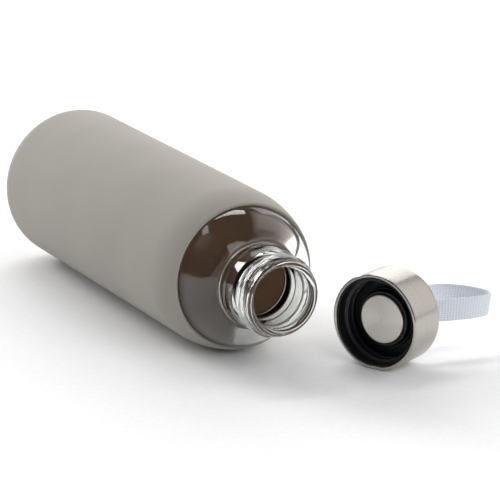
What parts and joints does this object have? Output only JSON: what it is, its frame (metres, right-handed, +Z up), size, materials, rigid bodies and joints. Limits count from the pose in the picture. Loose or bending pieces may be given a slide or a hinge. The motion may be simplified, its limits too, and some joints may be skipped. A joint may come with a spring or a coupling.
{
  "type": "glass water bottle",
  "caption": "Clear glass water bottle in a soft silicone sleeve, lying on its side, with its steel screw cap and webbing carry loop beside it.",
  "frame": {"origin": "middle of the flat face of the bottle's closed base", "axes": "+X along the bottle's axis from the base to the mouth, +Z up, with the bottle lying on its side on a surface below it"},
  "size_m": [0.243, 0.1349, 0.0698],
  "materials": {
    "clear_glass": "clear colourless soda-lime or borosilicate glass, fire polished",
    "sleeve_silicone": "matt soft-touch moulded silicone, taupe grey",
    "brushed_steel": "stainless steel, brushed round the cap",
    "turned_steel": "stainless steel with fine turned circles",
    "liner_plastic": "black moulded polypropylene with an internal screw thread",
    "seal_silicone": "black moulded silicone",
    "webbing": "woven polyester webbing, pale blue grey"
  },
  "bodies": {
    "bottle": {"glass_bottle": "clear_glass", "silicone_sleeve": "sleeve_silicone"},
    "cap": {"cap_shell": "brushed_steel", "cap_liner": "liner_plastic", "cap_disc": "turned_steel", "strap_anchor": "turned_steel"},
    "seal": {"seal_ring": "seal_silicone"},
    "strap_loop": {"strap": "webbing"}
  },
  "joints": [
    {"name": "cap_carry", "type": "hinge", "parent": "bottle", "child": "cap", "pos_m": [0.26126, 0.01922, -0.01182], "axis": [0.5123, 0.8385, -0.1859], "range_deg": [0, 167.04]},
    {"name": "seal_pull", "type": "slide", "parent": "cap", "child": "seal", "axis": [0.4563, -0.8898, 0], "range_m": [0, 0.025]},
    {"name": "strap_fold", "type": "hinge", "parent": "cap", "child": "strap_loop", "pos_m": [0.2156, 0.05913, -0.0144], "axis": [0, 0, 1], "range_deg": [-35, 65], "deforming": ["strap"]}
  ]
}
